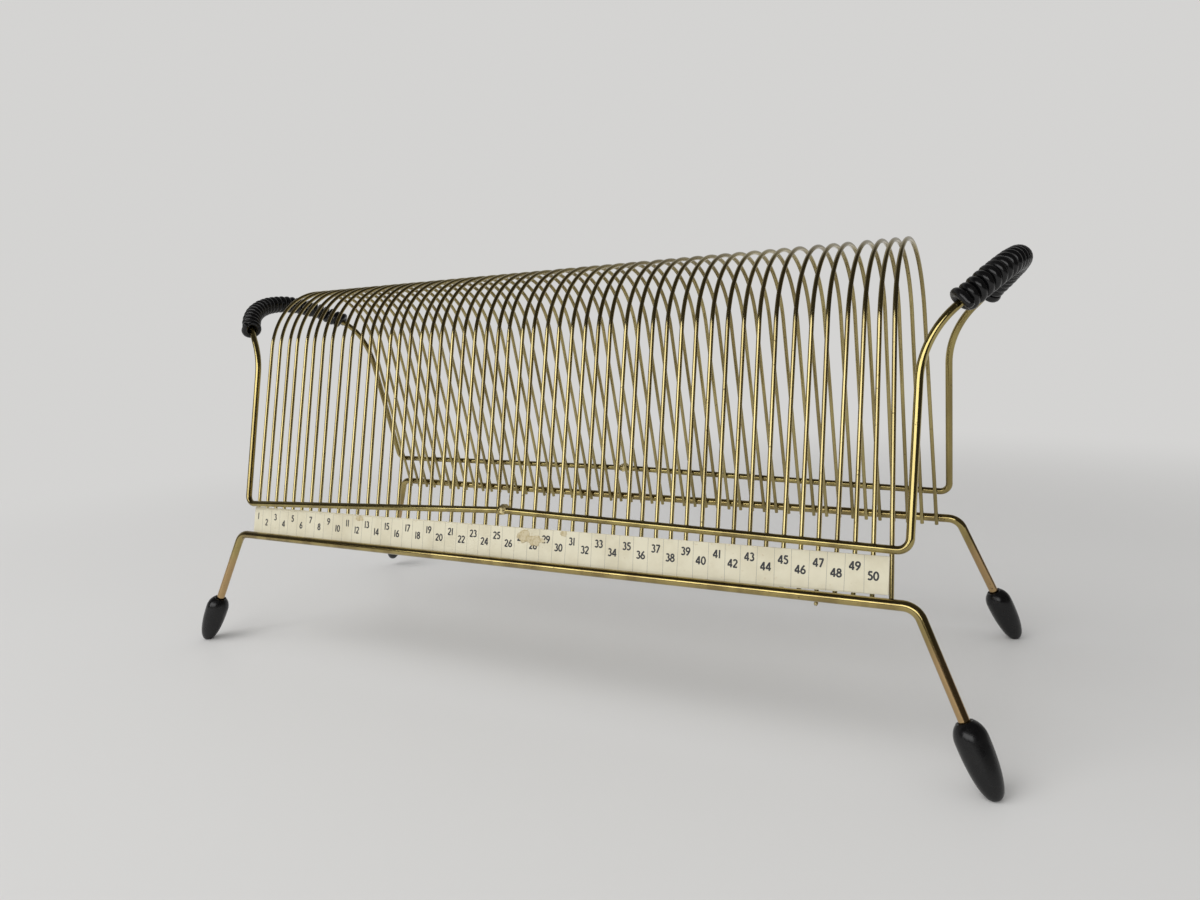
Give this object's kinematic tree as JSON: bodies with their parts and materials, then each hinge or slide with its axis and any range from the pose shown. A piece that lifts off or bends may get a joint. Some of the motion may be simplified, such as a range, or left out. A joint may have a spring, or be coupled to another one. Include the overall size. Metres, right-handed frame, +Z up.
{
  "type": "record storage stand",
  "caption": "Wire stand that keeps single records upright in a row of numbered slots, with a corded handle at each end and push-on feet.",
  "frame": {"origin": "middle of the whole outline, on the table that the feet stand on", "axes": "+X along the row towards the highest number, -Y towards the numbered front, +Z up"},
  "size_m": [0.4638, 0.1806, 0.216],
  "materials": {
    "hoop_wire": "lacquered, worn to brown in places",
    "frame_wire": "lacquered, bright along the top",
    "foot_wire": "lacquered",
    "foot_plastic": "soft gloss",
    "grip_cord": "soft gloss",
    "strip_card": "aged card with printed numbers"
  },
  "bodies": {
    "root": {"divider_hoop_01": "hoop_wire", "divider_hoop_02": "hoop_wire", "divider_hoop_03": "hoop_wire", "divider_hoop_04": "hoop_wire", "divider_hoop_05": "hoop_wire", "divider_hoop_06": "hoop_wire", "divider_hoop_07": "hoop_wire", "divider_hoop_08": "hoop_wire", "divider_hoop_09": "hoop_wire", "divider_hoop_10": "hoop_wire", "divider_hoop_11": "hoop_wire", "divider_hoop_12": "hoop_wire", "divider_hoop_13": "hoop_wire", "divider_hoop_14": "hoop_wire", "divider_hoop_15": "hoop_wire", "divider_hoop_16": "hoop_wire", "divider_hoop_17": "hoop_wire", "divider_hoop_18": "hoop_wire", "divider_hoop_19": "hoop_wire", "divider_hoop_20": "hoop_wire", "divider_hoop_21": "hoop_wire", "divider_hoop_22": "hoop_wire", "divider_hoop_23": "hoop_wire", "divider_hoop_24": "hoop_wire", "divider_hoop_25": "hoop_wire", "divider_hoop_26": "hoop_wire", "divider_hoop_27": "hoop_wire", "divider_hoop_28": "hoop_wire", "divider_hoop_29": "hoop_wire", "divider_hoop_30": "hoop_wire", "divider_hoop_31": "hoop_wire", "divider_hoop_32": "hoop_wire", "divider_hoop_33": "hoop_wire", "divider_hoop_34": "hoop_wire", "divider_hoop_35": "hoop_wire", "divider_hoop_36": "hoop_wire", "divider_hoop_37": "hoop_wire", "divider_hoop_38": "hoop_wire", "divider_hoop_39": "hoop_wire", "divider_hoop_40": "hoop_wire", "divider_hoop_41": "hoop_wire", "divider_hoop_42": "hoop_wire", "divider_hoop_43": "hoop_wire", "divider_hoop_44": "hoop_wire", "divider_hoop_45": "hoop_wire", "divider_hoop_46": "hoop_wire", "divider_hoop_47": "hoop_wire", "divider_hoop_48": "hoop_wire", "divider_hoop_49": "hoop_wire", "divider_hoop_50": "hoop_wire", "divider_hoop_51": "hoop_wire", "left_frame_half": "frame_wire", "right_frame_half": "frame_wire", "front_foot_rail": "foot_wire", "rear_foot_rail": "foot_wire", "front_feet": "foot_plastic", "rear_feet": "foot_plastic", "left_grip": "grip_cord", "right_grip": "grip_cord", "number_strip": "strip_card"}
  },
  "joints": []
}
